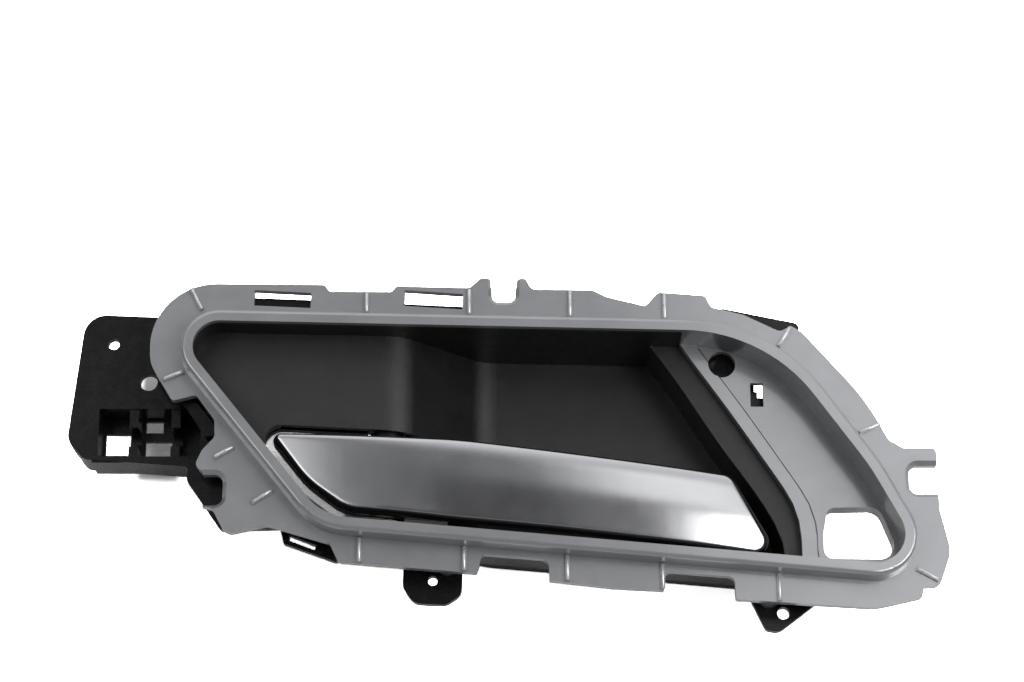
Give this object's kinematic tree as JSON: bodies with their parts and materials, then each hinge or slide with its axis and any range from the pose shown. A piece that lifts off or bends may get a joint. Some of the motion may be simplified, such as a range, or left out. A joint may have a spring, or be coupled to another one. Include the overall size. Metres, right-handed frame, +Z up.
{
  "type": "car interior door handle",
  "caption": "Silver and black interior door handle for a car, with a satin chrome pull lever in a finger recess and a lock panel beside it.",
  "frame": {"origin": "mouth of the screw hole in the bracket plate at the left end, on the plate's front face", "axes": "+X to the right of the cabin face, +Y into the door, +Z up as installed"},
  "size_m": [0.2294, 0.035, 0.0931],
  "materials": {
    "silver_paint": "metallic silver paint on plastic, satin",
    "grained_black": "fine moulded grain",
    "moulded_black": "plain moulded",
    "satin_chrome": "satin",
    "core_black": "plain moulded",
    "bright_steel": "ground",
    "spring_steel": "oiled",
    "bush_plastic": "plain",
    "pad_rubber": "matte",
    "zinc_screw": "zinc plated"
  },
  "bodies": {
    "carrier": {"bezel": "silver_paint", "bowl": "grained_black", "housing": "moulded_black", "hinge_pin": "bright_steel", "pin_ring": "spring_steel", "return_spring": "spring_steel", "washer_upper": "bush_plastic", "washer_lower": "bush_plastic", "rest_bumper": "pad_rubber", "stop_bumper": "pad_rubber", "bezel_screw_1": "zinc_screw", "bezel_screw_2": "zinc_screw", "bezel_screw_3": "zinc_screw", "bezel_screw_4": "zinc_screw", "bezel_screw_5": "zinc_screw"},
    "lever": {"lever_shell": "satin_chrome", "lever_core": "core_black", "bush_upper": "bush_plastic", "bush_lower": "bush_plastic", "shell_screw_1": "zinc_screw", "shell_screw_2": "zinc_screw"}
  },
  "joints": [
    {"name": "lever_hinge", "type": "hinge", "parent": "carrier", "child": "lever", "pos_m": [0.0728, 0.004, -0.0355], "axis": [0, 0, -1], "range_deg": [0, 38], "stiffness_Nm_per_rad": 0.12, "springref_deg": -17.19, "deforming": ["return_spring"]}
  ]
}
